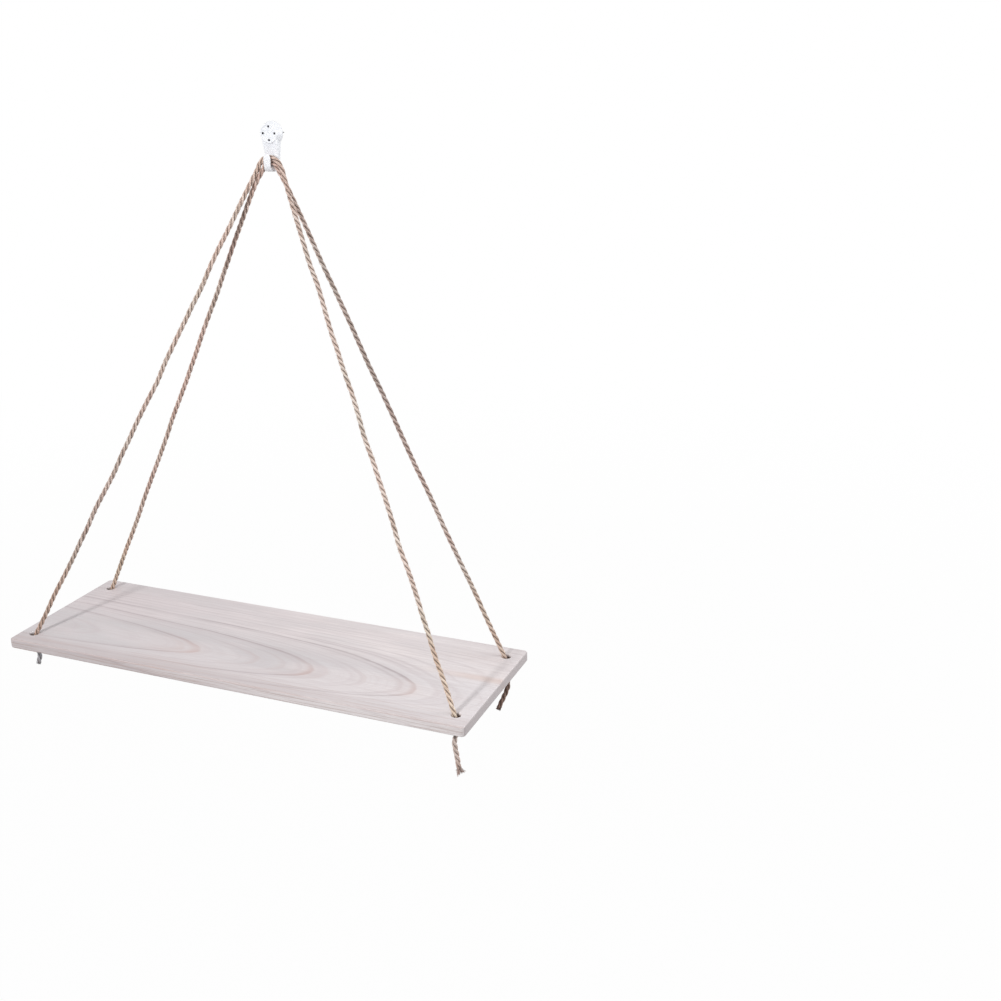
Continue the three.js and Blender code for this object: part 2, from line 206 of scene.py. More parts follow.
routes = {"front": rope_route("front", seed=3), "back": rope_route("back", seed=8)}
for row, route in routes.items():
    print(row, "rope:", round(length_of(route) / MM), "mm between its knots")

# %% [markdown]
# ## One class for every node
# Materials and Geometry Nodes are both trees of nodes, so one pair of classes builds them. A
# Wire is the output of a node, and arithmetic on it adds Math nodes, which lets a pattern be
# written as a sum. Everything else goes through Tree.node, which sets a node's own settings
# first, because they decide which sockets it shows, and then its values and links.

# %% Node classes
class Wire:
    """The output of a node. Sums and products of wires add Math nodes to their tree."""

    def __init__(self, tree, socket):
        self.tree, self.socket = tree, socket

    def math(self, operation, *others, first=None):
        values = [self if first is None else first, *others]
        return self.tree.node("ShaderNodeMath", {"operation": operation}, dict(enumerate(values)))

    def __add__(self, other):
        return self.math("ADD", other)

    def __sub__(self, other):
        return self.math("SUBTRACT", other)

    def __mul__(self, other):
        return self.math("MULTIPLY", other)

    def __truediv__(self, other):
        return self.math("DIVIDE", other)

    def __pow__(self, other):
        return self.math("POWER", other)

    __radd__, __rmul__ = __add__, __mul__

    def __rsub__(self, other):
        return self.math("SUBTRACT", self, first=other)

    def __rtruediv__(self, other):
        return self.math("DIVIDE", self, first=other)

    def vector(self, operation, other):
        """Vector Math on this wire and another wire, a vector or, for SCALE, a number."""
        key = "Scale" if operation == "SCALE" else 1
        settings = {"operation": operation}
        return self.tree.node("ShaderNodeVectorMath", settings, {0: self, key: other})

    def parts(self):
        made = self.tree.node("ShaderNodeSeparateXYZ", {}, {0: self})
        return [Wire(self.tree, socket) for socket in made.socket.node.outputs]

    def rise(self, low, high):
        """0 below low, 1 above high and smooth between; the other way round if low is higher."""
        settings = {"interpolation_type": "SMOOTHSTEP"}
        values = {"Value": self, "From Min": low, "From Max": high}
        return self.tree.node("ShaderNodeMapRange", settings, values)


class Tree:
    """A node tree and the one method that adds a node of any type to it."""

    def __init__(self, tree):
        self.tree = tree

    def plug(self, node, key, value):
        if isinstance(key, int):
            socket = node.inputs[key]
        else:
            socket = next(s for s in node.inputs if s.enabled and key in (s.name, s.identifier))
        if isinstance(value, Wire):
            self.tree.links.new(value.socket, socket)
        else:
            socket.default_value = value

    def node(self, kind, settings=None, values=None, out=None):
        node = self.tree.nodes.new(kind)
        for name, value in (settings or {}).items():
            if name == "stops":
                for place, _ in value[1:-1]:
                    node.color_ramp.elements.new(place)
                for stop, (place, colour) in zip(node.color_ramp.elements, value):
                    stop.position, stop.color = place, colour
            else:
                setattr(node, name, value)
        for key, value in (values or {}).items():
            self.plug(node, key, value)
        shown = [s for s in node.outputs if s.enabled]
        if not shown:
            return node
        return Wire(self, next(s for s in shown if out in (None, s.name)))

    def noise(self, vector, scale=1.0, detail=2.0, roughness=0.5):
        values = {"Vector": vector, "Scale": scale, "Detail": detail, "Roughness": roughness}
        return self.node("ShaderNodeTexNoise", {}, values, "Fac")

    def drawn(self, place, rates, detail=2.0, roughness=0.5):
        """Noise that is drawn out along the axes on which its rate is low."""
        return self.noise(place.vector("MULTIPLY", rates), 1.0, detail, roughness)

    def mix(self, share, first, second):
        values = {"Factor": share, "A": first, "B": second}
        return self.node("ShaderNodeMix", {"data_type": "RGBA"}, values)


def new_finish(name, **constants):
    """A material's tree and its shader, with the shader's constant values set."""
    material = bpy.data.materials.new(name)
    material.use_nodes = True
    tree = Tree(material.node_tree)
    shader = material.node_tree.nodes["Principled BSDF"]
    for key, value in constants.items():
        shader.inputs[key.replace("_", " ")].default_value = value
    return material, tree, shader


def srgb(red, green, blue):
    """A colour written as it looks on a screen, from 0 to 255, as the nodes want it."""
    def linear(level):
        level /= 255
        return level / 12.92 if level < 0.04045 else ((level + 0.055) / 1.055) ** 2.4

    return (linear(red), linear(green), linear(blue), 1.0)


print("white is", srgb(255, 255, 255))

# %% [markdown]
# ## Jute
# Jute is a dry, matt, hairy fibre, from straw to pinkish brown. In a laid rope the strands wind
# one way and the fibres in each strand the other, so the fibres on the crowns run almost along
# the rope. The pattern therefore can't sit on Object coordinates alone: it reads four attributes
# that the rope's mesh carries. They are the direction round the strand, the distance along it,
# how far a point stands out from the rope's core, and the tint and painted shade of that stretch.
# Grooves are darker than crowns, partly dirt and partly painted shade, and single fibres, whole
# strands and patches about a centimetre long differ in tone.

# %% Jute finish
# How far the fibres turn round a strand in a metre, in radians, and how many yarns it shows.
FIBRE_TWIST, YARNS_ROUND = 520.0, 6
# How fast the fibres' tone changes round the strand and along it.
FIBRES_ROUND, FIBRES_ALONG = 1.9, 330
# How many patches of warmer and of darker jute a metre holds.
WARM_PATCHES, LOTS = 26, 90
JUTE_RELIEF = 0.14 * MM


def jute_finish(name, light, middle, deep):
    material, jute, shader = new_finish(
        name, Roughness=0.92, Sheen_Weight=0.25, Sheen_Roughness=0.6
    )
    carried = {"rim": "Vector", "along": "Fac", "crown": "Fac", "tint": "Vector"}
    rim, along, crown, tint = [
        jute.node("ShaderNodeAttribute", {"attribute_name": title}, out=kind)
        for title, kind in carried.items()
    ]
    place = jute.node("ShaderNodeTexCoord", out="Object")
    rim_x, rim_y, _ = rim.parts()
    turn = rim_y.math("ARCTAN2", rim_x) + along * FIBRE_TWIST
    round_x, round_y = turn.math("COSINE") * FIBRES_ROUND, turn.math("SINE") * FIBRES_ROUND
    spot = {0: round_x, 1: round_y, 2: along * FIBRES_ALONG}
    fibres = jute.noise(jute.node("ShaderNodeCombineXYZ", {}, spot), 1.6, 3, 0.65)
    yarns = (turn * YARNS_ROUND).math("COSINE") * 0.5 + 0.5
    patches = jute.noise(place, WARM_PATCHES)
    # How far a point stands out from the core. It lightens the crowns and darkens the grooves,
    # partly as dirt and partly as painted shade.
    out = crown.rise(0.52, 0.98)
    # Each strand's distance starts at its own whole metre, which tells the strands apart.
    strand = (along.math("FLOOR") * 2.1).math("COSINE")
    lot = jute.noise(place, LOTS).rise(0.3, 0.7) - 0.5
    tone = fibres.rise(0.3, 0.72) * 0.62 + out * 0.34 + yarns * 0.1 - 0.04
    tone = tone + strand * 0.07 + lot * 0.16
    stops = [(0.0, deep), (0.48, middle), (1.0, light)]
    straw = jute.node("ShaderNodeValToRGB", {"stops": stops}, {"Fac": tone}, "Color")
    warm = jute.mix(patches.rise(0.35, 0.68), (1.0, 0.93, 0.9, 1.0), (0.97, 1.0, 0.97, 1.0))
    settings = {"data_type": "RGBA", "blend_type": "MULTIPLY"}
    tinted = jute.node("ShaderNodeMix", settings, {"Factor": 1.0, "A": straw, "B": warm})
    # Painted shade: the grooves, which lie nearer the core, are darkened.
    shade = out * 0.7 + 0.3
    shaded = tinted.vector("SCALE", shade).vector("MULTIPLY", tint)
    jute.plug(shader, "Base Color", shaded)
    height = yarns * 0.55 + fibres * 0.45
    bump = {"Strength": 0.9, "Distance": JUTE_RELIEF, "Height": height}
    jute.plug(shader, "Normal", jute.node("ShaderNodeBump", {}, bump))
    return material


jute = jute_finish("jute", srgb(255, 249, 242), srgb(204, 182, 168), srgb(64, 48, 41))
print("made", jute.name)

# %% [markdown]
# ## From a route to a laid rope
# This rope has three strands, and its grooves slope like the middle of a letter S. A groove
# passes every 6.3 mm, so one strand goes once round in 19 mm. The strands could be one tube
# with a bump map, but their grooves show in the outline, so each strand gets its own tube. A
# frame is carried along the route without twisting, and each strand turns round it. The lay of
# a real rope is never quite even, so three slow waves swing the strands a little either way.

# %% Strands
STRANDS = 3
LAY_LENGTH = 19 * MM
STRAND_RADIUS = 1.02 * MM
STRAND_OFFSET = 0.99 * MM
LAY_SWING, LAY_WAVES = 0.2, (37 * MM, 61.3 * MM, 97.1 * MM)
# A direction that no route starts along, to build the first frame on.
ASIDE = (0.31, 0.95, 0.05)
# The share of its radius that a cut strand keeps at each of its last points.
TIP_TAPER = np.array([0.99, 0.96, 0.92, 0.86, 0.78, 0.68])


def carried_frame(route):
    """Directions along, beside and across a route, with no twist from point to point."""
    ahead = np.gradient(route, axis=0)
    ahead /= np.linalg.norm(ahead, axis=1)[:, None]
    beside = np.zeros_like(route)
    beside[0] = np.cross(ahead[0], ASIDE)
    for i, direction in enumerate(ahead):
        held = beside[max(i - 1, 0)]
        held = held - direction * (held @ direction)
        beside[i] = held / np.linalg.norm(held)
    return ahead, beside, np.cross(ahead, beside)


class Yarns:
    """Runs that wait to be swept into tubes, with what the jute finish reads on them."""

    def __init__(self):
        self.points, self.links, self.thick, self.core = [], [], [], []
        self.along, self.tint = [], []

    def add(self, run, thick, core, along, tint):
        first = len(self.points)
        self.points += list(run)
        self.links += [(i, i + 1) for i in range(first, first + len(run) - 1)]
        self.thick += list(np.broadcast_to(thick, len(run)))
        self.core += list(core)
        self.along += list(along)
        self.tint += list(np.broadcast_to(tint, (len(run), 3)))

    def lay(self, route, tint, squeeze=1.0, shift=0.0, cut=0):
        """Adds the strands that wind round a route, less the points cut off its far end."""
        _, beside, across = carried_frame(route)
        along = distances(route) + shift
        squeeze, tint = np.broadcast_to(squeeze, len(route)), np.broadcast_to(tint, route.shape)
        unevenly = sum(LAY_SWING * np.sin(2 * math.pi * along / wave) for wave in LAY_WAVES)
        keep = slice(0, len(route) - cut)
        runs = []
        for k in range(STRANDS):
            angle = 2 * math.pi * (k / STRANDS - along / LAY_LENGTH) + unevenly
            swing = beside * np.cos(angle)[:, None] + across * np.sin(angle)[:, None]
            run = route + swing * (STRAND_OFFSET * squeeze)[:, None]
            thick = STRAND_RADIUS * squeeze[keep]
            if cut:
                thick[-len(TIP_TAPER):] *= TIP_TAPER
            self.add(run[keep], thick, route[keep], along[keep] + k, tint[keep])
            runs.append(run)
        return runs

    def mesh(self, name):
        mesh = bpy.data.meshes.new(name)
        mesh.from_pydata([tuple(p) for p in self.points], self.links, [])
        for title, kind, values in (
            ("thick", "FLOAT", self.thick),
            ("along", "FLOAT", self.along),
            ("core", "FLOAT_VECTOR", self.core),
            ("tint", "FLOAT_VECTOR", self.tint),
        ):
            attribute = mesh.attributes.new(title, kind, "POINT")
            field = "vector" if kind == "FLOAT_VECTOR" else "value"
            attribute.data.foreach_set(field, np.array(values, np.float32).ravel())
        return mesh


print("strand turns once in", round(LAY_LENGTH / MM, 1), "mm")

# %% [markdown]
# ## The spinning tree
# Sweeping a profile along hundreds of runs, and scattering loose fibres over the result, is
# what Geometry Nodes are for. The tree turns the runs into curves, sweeps a round profile that
# is as wide as each point says, stores what the finish reads, and grows short bent fibres out
# of the surface from a fixed seed. It ends in plain mesh with the jute finish on it.

# %% Rope tree
FIBRE_LENGTH, FIBRE_RADIUS = 1.5 * MM, 0.028 * MM
FIBRE_SIDES, FIBRE_POINTS = 3, 4
# Where a loose fibre's middle and tip are, and how short it can be, in shares of its length.
FIBRE_MIDDLE, FIBRE_TIP, SHORTEST_SHARE = (0.1, 0, 0.7), (0.75, 0, 0.9), 0.35
# How far it can tilt and how far it can spin about its root, in radians.
FIBRE_TILT, FIBRE_SPIN = 0.9, 6.28
# The hook presses the fibres flat, so none stand off the rope above this level.
BARE_ABOVE = -52 * MM


def group_with(name, sockets):
    """An empty Geometry Nodes group with named inputs, and a wire for each of them."""
    group = bpy.data.node_groups.new(name, "GeometryNodeTree")
    for title, kind in sockets:
        group.interface.new_socket(title, in_out="INPUT", socket_type=kind)
    group.interface.new_socket("Geometry", in_out="OUTPUT", socket_type="NodeSocketGeometry")
    tree = Tree(group)
    entry = group.nodes.new("NodeGroupInput")
    return group, tree, {title: Wire(tree, entry.outputs[title]) for title, _ in sockets}


def finish_group(tree, geometry, material):
    """Ends a group in Realize Instances and Set Material."""
    whole = tree.node("GeometryNodeRealizeInstances", {}, {"Geometry": geometry})
    values = {"Geometry": whole, "Material": material}
    whole = tree.node("GeometryNodeSetMaterial", {}, values)
    tree.node("NodeGroupOutput", {}, {"Geometry": whole})


def spinning_tree():
    group, tree, given = group_with("Spin rope", (
        ("Geometry", "NodeSocketGeometry"),
        ("Sides", "NodeSocketInt"),
        ("Fibres per square metre", "NodeSocketFloat"),
        ("Fibre length", "NodeSocketFloat"),
        ("Fibre radius", "NodeSocketFloat"),
        ("Bare above", "NodeSocketFloat"),
        ("Seed", "NodeSocketInt"),
        ("Finish", "NodeSocketMaterial"),
    ))
    store, named = "GeometryNodeStoreNamedAttribute", "GeometryNodeInputNamedAttribute"
    runs = tree.node("GeometryNodeMeshToCurve", {}, {"Mesh": given["Geometry"]})
    round_it = {"Resolution": given["Sides"], "Radius": 1.0}
    profile = tree.node("GeometryNodeCurvePrimitiveCircle", {}, round_it)
    position = tree.node("GeometryNodeInputPosition")
    values = {"Geometry": profile, "Name": "rim", "Value": position}
    profile = tree.node(store, {"data_type": "FLOAT_VECTOR"}, values)
    thick = tree.node(named, {"data_type": "FLOAT"}, {"Name": "thick"})
    core = tree.node(named, {"data_type": "FLOAT_VECTOR"}, {"Name": "core"})
    values = {"Curve": runs, "Profile Curve": profile, "Scale": thick, "Fill Caps": True}
    tubes = tree.node("GeometryNodeCurveToMesh", {}, values)
    reach = position.vector("DISTANCE", core) / (ROPE_DIAMETER / 2)
    values = {"Geometry": tubes, "Name": "crown", "Value": reach}
    tubes = tree.node(store, {"data_type": "FLOAT"}, values)
    tubes = tree.node("GeometryNodeSetShadeSmooth", {}, {"Geometry": tubes})
    loose = position.parts()[2].math("LESS_THAN", given["Bare above"])
    density = loose * given["Fibres per square metre"]
    values = {"Mesh": tubes, "Density": density, "Seed": given["Seed"]}
    roots = tree.node("GeometryNodeDistributePointsOnFaces", {}, values)
    facing = Wire(tree, roots.socket.node.outputs["Rotation"])
    values = {"Start": (0, 0, 0), "Middle": FIBRE_MIDDLE, "End": FIBRE_TIP}
    values["Resolution"] = FIBRE_POINTS
    fibre = tree.node("GeometryNodeCurveQuadraticBezier", {}, values)
    round_it = {"Resolution": FIBRE_SIDES, "Radius": 1.0}
    thin = tree.node("GeometryNodeCurvePrimitiveCircle", {}, round_it)
    slim = given["Fibre radius"] / given["Fibre length"]
    values = {"Curve": fibre, "Profile Curve": thin, "Scale": slim, "Fill Caps": True}
    fibre = tree.node("GeometryNodeCurveToMesh", {}, values)
    values = {"Min": (-FIBRE_TILT, -FIBRE_TILT, 0), "Max": (FIBRE_TILT, FIBRE_TILT, FIBRE_SPIN)}
    values["Seed"] = given["Seed"]
    tilt = tree.node("FunctionNodeRandomValue", {"data_type": "FLOAT_VECTOR"}, values)
    spin = tree.node("FunctionNodeEulerToRotation", {}, {"Euler": tilt})
    values = {"Rotation": facing, "Rotate By": spin}
    spin = tree.node("FunctionNodeRotateRotation", {"rotation_space": "LOCAL"}, values)
    values = {"Min": SHORTEST_SHARE, "Max": 1.0, "Seed": given["Seed"]}
    sizes = tree.node("FunctionNodeRandomValue", {"data_type": "FLOAT"}, values)
    sizes = sizes * given["Fibre length"]
    values = {"Points": roots, "Instance": fibre, "Rotation": spin, "Scale": sizes}
    fuzz = tree.node("GeometryNodeInstanceOnPoints", {}, values)
    join = group.nodes.new("GeometryNodeJoinGeometry")
    for part in (fuzz, tubes):
        group.links.new(part.socket, join.inputs[0])
    finish_group(tree, Wire(tree, join.outputs[0]), given["Finish"])
    return group


def built(name, mesh, group, **inputs):
    """A piece made by a group of nodes, with the result kept as plain mesh."""
    piece = bpy.data.objects.new(name, mesh)
    bpy.context.scene.collection.objects.link(piece)
    modifier = piece.modifiers.new("Build", "NODES")
    modifier.node_group = group
    for item in group.interface.items_tree:
        key = item.name.replace(" ", "_")
        if item.in_out == "INPUT" and key in inputs:
            modifier[item.identifier] = inputs[key]
    return settled(piece)


def settled(piece):
    """Turns a piece's live modifiers into its own plain mesh."""
    bpy.context.view_layer.update()
    graph = bpy.context.evaluated_depsgraph_get()
    shown = piece.evaluated_get(graph)
    mesh = bpy.data.meshes.new_from_object(
        shown, preserve_all_data_layers=True, depsgraph=graph
    )
    piece.modifiers.clear()
    piece.data = mesh
    piece.data.name = piece.name
    print(piece.name, len(mesh.polygons), "faces")
    return piece


spin_rope = spinning_tree()
FUZZ = {
    "Fibre_length": FIBRE_LENGTH, "Fibre_radius": FIBRE_RADIUS, "Bare_above": BARE_ABOVE,
    "Finish": jute,
}

# %% [markdown]
# ## The two ropes
# A rope is one mesh from knot to knot. Each rope carries its own tint from point to point,
# partly the jute's own tone and partly painted shade. It is more golden near the board and
# pinker near the hook, its left leg is darker near the knot, and the back rope has one darker
# stretch of painted shade on its right leg.

# %% Ropes
ROPE_SIDES = 12
FIBRES_ON_ROPE = 1.4e5
# The left knot, both sides of the hook and the right knot. A tint, with its painted shade, changes
# evenly between them.
TINT_PLACES = (-200 * MM, -10 * MM, 10 * MM, 200 * MM)
LEG_TINTS_AND_SHADE = {
    "front": ((0.68, 0.61, 0.62), (0.95, 0.89, 0.88), (0.87, 0.86, 0.88), (1.04, 1.02, 1.03)),
    "back": ((0.79, 0.71, 0.69), (0.89, 0.78, 0.78), (0.90, 0.88, 0.91), (0.86, 0.80, 0.82)),
}
# What red, green and blue lose where the rope is golden and where it is pink.
GOLDEN, PINK = np.array([0.0, 0.02, 0.1]), np.array([0.0, 0.06, 0.08])
GOLDEN_BEYOND, PINK_WITHIN, FADE = 160 * MM, 30 * MM, 20 * MM
# Painted shade: one darker stretch on the back rope's right leg, and none on the front rope.
PAINTED_SHADE = {"front": 0.0, "back": 0.25}
PAINTED_SHADE_X, PAINTED_SHADE_WIDTH = 92 * MM, 32 * MM


def rope_tints_and_shade(row, x):
    """The tint and painted shade at each place along a rope, from how far left or right it is."""
    tones_and_shade = np.stack([np.interp(x, TINT_PLACES, shares) for shares in zip(*LEG_TINTS_AND_SHADE[row])], 1)
    golden = np.clip((abs(x) - GOLDEN_BEYOND) / FADE, 0, 1)[:, None]
    pink = np.clip((PINK_WITHIN - abs(x)) / FADE, 0, 1)[:, None]
    tones_and_shade *= 1 - golden * GOLDEN - pink * PINK
    painted_shade = PAINTED_SHADE[row] * np.exp(-((x - PAINTED_SHADE_X) / PAINTED_SHADE_WIDTH) ** 2)
    return tones_and_shade * (1 - painted_shade)[:, None]


def make_rope(row, seed):
    route = routes[row]
    yarns = Yarns()
    yarns.lay(route, rope_tints_and_shade(row, route[:, 0]))
    rope = built(
        f"{row}_rope", yarns.mesh(f"{row}_rope"), spin_rope,
        Sides=ROPE_SIDES, Fibres_per_square_metre=FIBRES_ON_ROPE, Seed=seed, **FUZZ,
    )
    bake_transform(rope)
    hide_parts(f"{row}_rope_top", f"{row}_rope_left_leg", f"{row}_rope_right_leg")
    return rope


ropes = {"front": make_rope("front", seed=5), "back": make_rope("back", seed=9)}

# %% [markdown]
# ## A knot pulled tight
# Under the board each rope ends in a tight overhand knot that can't pass its hole. Turns placed
# by hand would run through each other, but a real knot finds its own shape when it is pulled.
# So a loose one is written as a formula and pulled tight: the ends move apart, bends ease, links
# keep their length, and turns that come nearer than a rope's width push each other away. Jute
# gives a little, so the knot is drawn slightly smaller. Sizes in this cell are millimetres.

# %% Tight knot
KNOT_ROPE, PULLED_TO, ROPE_WIDTH = 90.0, 48.0, ROPE_DIAMETER / MM
CHAIN_POINTS, PULL_ROUNDS, LINK_PASSES, PUSH_PASSES = 150, 6000, 6, 2
# The share of the rounds in which the ends move apart, and how strongly each round pulls the
# ends, eases the bends and pushes the turns.
PULL_TIME, PULL, EASE, PUSH = 0.8, 0.05, 0.18, 0.25
# Points nearer along the rope than this many widths don't push each other.
CLEAR_WIDTHS = 1.75
# Where the formula's curve ends, how many points it is drawn with, and a way across it.
KNOT_REACH, KNOT_SAMPLES, KNOT_ASIDE = 2.25, 2000, (0.3, 1, 0.2)
# Turns this near are watched for a number of rounds before the search is made again.
WATCH_WITHIN, WATCH_ROUNDS = 5.5, 20
KNOT_HALF_HEIGHT, KNOT_GIVE, KNOT_POINTS = 7.4, (0.8, 0.8, 0.72), 30


def loose_knot():
    """An open overhand knot with its ends above and below, from the formula of a trefoil."""
    t = np.linspace(-KNOT_REACH, KNOT_REACH, KNOT_SAMPLES)
    knot = np.stack([t ** 3 - 3 * t, t ** 4 - 4 * t ** 2, t ** 5 / 5 - 2 * t], axis=1)
    up = knot[-1] - knot[0]
    up /= np.linalg.norm(up)
    beside = np.cross(up, KNOT_ASIDE)
    beside /= np.linalg.norm(beside)
    knot = knot @ np.stack([beside, np.cross(up, beside), up], axis=1)
    knot = (knot - knot.mean(axis=0)) * KNOT_ROPE / length_of(knot)
    return evenly(knot, KNOT_ROPE / (CHAIN_POINTS - 1))


def keep_links(chain, link):
    """Moves neighbours until their links have their length again, every other link at a time."""
    for first in (0, 1):
        low, high = chain[first:-1:2], chain[first + 1::2]
        step = high - low
        step *= 0.5 - 0.5 * link / np.linalg.norm(step, axis=1)[:, None]
        low += step
        high -= step


def push_apart(chain, one, other):
    """Moves pairs of points that are nearer than a rope's width away from each other."""
    between = chain[one] - chain[other]
    apart = np.linalg.norm(between, axis=1)
    hit = apart < ROPE_WIDTH
    push = between[hit] * (PUSH * (ROPE_WIDTH - apart[hit]) / apart[hit])[:, None]
    np.add.at(chain, one[hit], push)
    np.add.at(chain, other[hit], -push)


def tight_knot():
    """The same knot with its ends pulled apart until its turns lie against each other."""
    chain, link = loose_knot(), KNOT_ROPE / (CHAIN_POINTS - 1)
    pairs = np.stack(np.triu_indices(CHAIN_POINTS, math.ceil(CLEAR_WIDTHS * ROPE_WIDTH / link)))
    loose = chain[-1, 2] - chain[0, 2]
    for done in range(PULL_ROUNDS):
        span = loose + (PULLED_TO - loose) * min(1, done / (PULL_ROUNDS * PULL_TIME))
        chain[-1] += PULL * ([0, 0, span / 2] - chain[-1])
        chain[0] += PULL * ([0, 0, -span / 2] - chain[0])
        chain[1:-1] += EASE * (chain[:-2] - 2 * chain[1:-1] + chain[2:])
        for _ in range(LINK_PASSES):
            keep_links(chain, link)
        if done % WATCH_ROUNDS == 0:
            apart = np.linalg.norm(chain[pairs[0]] - chain[pairs[1]], axis=1)
            watched = pairs[:, apart < WATCH_WITHIN]
        for _ in range(PUSH_PASSES):
            push_apart(chain, *watched)
    return chain[::-1]


chain = tight_knot()
chain = chain[abs(chain[:, 2]) < KNOT_HALF_HEIGHT] * KNOT_GIVE
tight_turns = evenly(chain, length_of(chain) / (KNOT_POINTS - 1))[1:-1]
print("rope in a knot:", round(length_of(tight_turns)), "mm")

# %% [markdown]
# ## Where the knots and free ends run
# Each knot hangs below its hole, turned its own way. Below it a free end hangs from the knot,
# each one cut to its own length, with a bend that is listed point by point.

# %% Routes of the knots and free ends
KNOT_MIDDLE = -430.6 * MM
HINGE_LEVEL = -437 * MM
# Millimetres from the hinge of each free end.
TAIL_POINTS = {
    "front_left": ((1.6, 1.2, 0), (1.3, 0.7, -3), (0.9, 0.1, -6), (0.3, -0.5, -9.6)),
    "front_right": (
        (-1.4, 0, 0), (-1.9, -0.2, -3.5), (-1.5, -0.4, -8), (-0.5, -0.6, -13),
        (0.5, -0.7, -18.5), (1.3, -0.7, -24.5), (2.4, -0.6, -30.5),
    ),
    "back_left": (
        (0, 0, 0), (0.6, -0.6, -4), (1.7, -1.5, -8.5), (3.1, -2.4, -13),
        (4.8, -3.2, -17.5), (6.6, -3.9, -22),
    ),
    "back_right": (
        (0, 0, 0), (1.2, -0.3, -3), (1.6, -0.9, -6.5), (0.9, -2.4, -10.6),
        (-0.8, -5.6, -16.4), (-2.4, -8.6, -21), (-3.9, -11.6, -25.5),
    ),
}
# How far each knot is turned about its hole, in degrees.
KNOT_TURNS = {"front_left": 85, "front_right": 60, "back_left": 110, "back_right": 290}
# How far above the board's underside the route starts, and where it is plumb.
IN_HOLE = (3 * MM, 1 * MM)
POINTS_BETWEEN = 8
END_STEP, END_EASING = 0.5 * MM, 3


def smooth_through(points, count):
    """A smooth curve that passes through every point, with count steps between two."""
    points = np.array(points, float)
    points = np.vstack([2 * points[0] - points[1], points, 2 * points[-1] - points[-2]])
    made = []
    for i in range(1, len(points) - 2):
        a, b, c, d = points[i - 1:i + 3]
        for t in np.linspace(0, 1, count, endpoint=False):
            made.append(0.5 * (
                2 * b + (c - a) * t + (2 * a - 5 * b + 4 * c - d) * t ** 2
                + (3 * b - a - 3 * c + d) * t ** 3
            ))
    return np.vstack([made, points[-2]])


def end_route(name):
    """From inside the hole, through the knot, to the tip of the free end."""
    row, side = name.split("_")
    sign = 1 if side == "right" else -1
    hole = np.array([HOLE_X * sign, HOLE_Y[row], 0])
    turn = Matrix.Rotation(math.radians(KNOT_TURNS[name]), 3, "Z")
    knot = [np.array(turn @ Vector(p)) * MM + [0, 0, KNOT_MIDDLE] for p in tight_turns]
    tail = [np.array(p) * MM + [0, 0, HINGE_LEVEL] for p in TAIL_POINTS[name]]
    above = [np.array([-LEAN_IN * sign, 0, BOARD_BOTTOM + up]) for up in IN_HOLE]
    route = smooth_through([*above, *knot, *tail], POINTS_BETWEEN)
    return eased(evenly(route, END_STEP), END_EASING) + hole


end_routes = {name: end_route(name) for name in TAIL_POINTS}
for name, route in end_routes.items():
    print(name, "knot and end:", round(length_of(route) / MM), "mm of rope")

# %% [markdown]
# ## Unlaid tips
# The last few millimetres of a free end come unlaid: the strands part and their fibres spread.
# Each strand is cut short there, and a few dozen thin yarns start inside it, bend outwards and
# droop. Where they start and how far they spread is random, from a fixed seed.

# %% Unlaid tips
FRAY = {
    "front_left": 1.2 * MM, "front_right": 4.4 * MM, "back_left": 3 * MM, "back_right": 1.5 * MM,
}
TIP_YARNS, TIP_POINTS = 34, 9
TIP_RADII, TIP_WAVE = (0.11 * MM, 0.21 * MM), 0.22 * MM
# The yarns are rooted this many points inside their strand, over this share of its radius.
ROOTED, ROOTED_SHARE = 5, 0.8
# How far a yarn spreads from its strand and, at most, from the rope, for a tip of this length.
YARN_SPREAD, STRAND_SPREAD, SPREAD_TIP = 0.22, 0.8, 7 * MM


def fray_tip(yarns, route, runs, cut, tip, tint, random):
    """Parts each strand into yarns that spread and droop past the point where the lay ends."""
    ahead = route[-1] - route[-4]
    ahead /= np.linalg.norm(ahead)
    steps = np.linspace(0, 1, TIP_POINTS)[:, None]
    for run in runs:
        last = len(run) - cut - 1
        root = run[last - ROOTED]
        out = run[last] - route[last]
        out /= np.linalg.norm(out)
        for _ in range(TIP_YARNS):
            apart = random.normal(size=3)
            apart -= ahead * (apart @ ahead)
            apart *= ROOTED_SHARE * math.sqrt(random.uniform()) / np.linalg.norm(apart)
            spread = apart * YARN_SPREAD + out * random.uniform(0.0, STRAND_SPREAD)
            long = tip * random.uniform(0.7, 1.12) + ROOTED * END_STEP
            path = root + apart * STRAND_RADIUS + ahead * long * steps
            path += spread * long * steps ** 2 * tip / SPREAD_TIP
            path += random.normal(size=3) * TIP_WAVE * np.sin(steps * math.pi * 2)
            thick = random.uniform(*TIP_RADII) * (1 - 0.5 * steps[:, 0] ** 3)
            core = path - out * ROPE_DIAMETER * random.uniform(0.36, 0.5)
            yarns.add(path, thick, core, steps[:, 0] * long + random.uniform(0, 9), tint)


print("yarns in each tip:", STRANDS * TIP_YARNS)

# %% [markdown]
# ## Knots and free ends
# The rope is squeezed a little in its knot, and swells a little below it. Knot and end are one
# mesh, so the rope never shows a break. The tint of each free end is painted shade: the front
# left one is greyed, and the back right one, under the board, is dark brown.

# %% Knots and free ends
# Painted shade on each free end, as shares of red, green and blue.
END_PAINTED_SHADE = {
    "front_left": (0.62, 0.73, 0.90), "front_right": (0.98, 0.92, 0.96),
    "back_left": (0.80, 0.80, 0.85), "back_right": (0.37, 0.28, 0.25),
}
FIBRES_ON_ENDS, END_SEED, END_SHIFT = 9e4, 20, 0.4
# How thick the rope is in the knot and below it, and how far into the knot the squeeze grows.
KNOT_SQUEEZE, END_SWELL = 0.86, 1.06
SQUEEZE_FROM, SQUEEZE_FADE, HINGE_FADE = 4 * MM, 3 * MM, 1 * MM


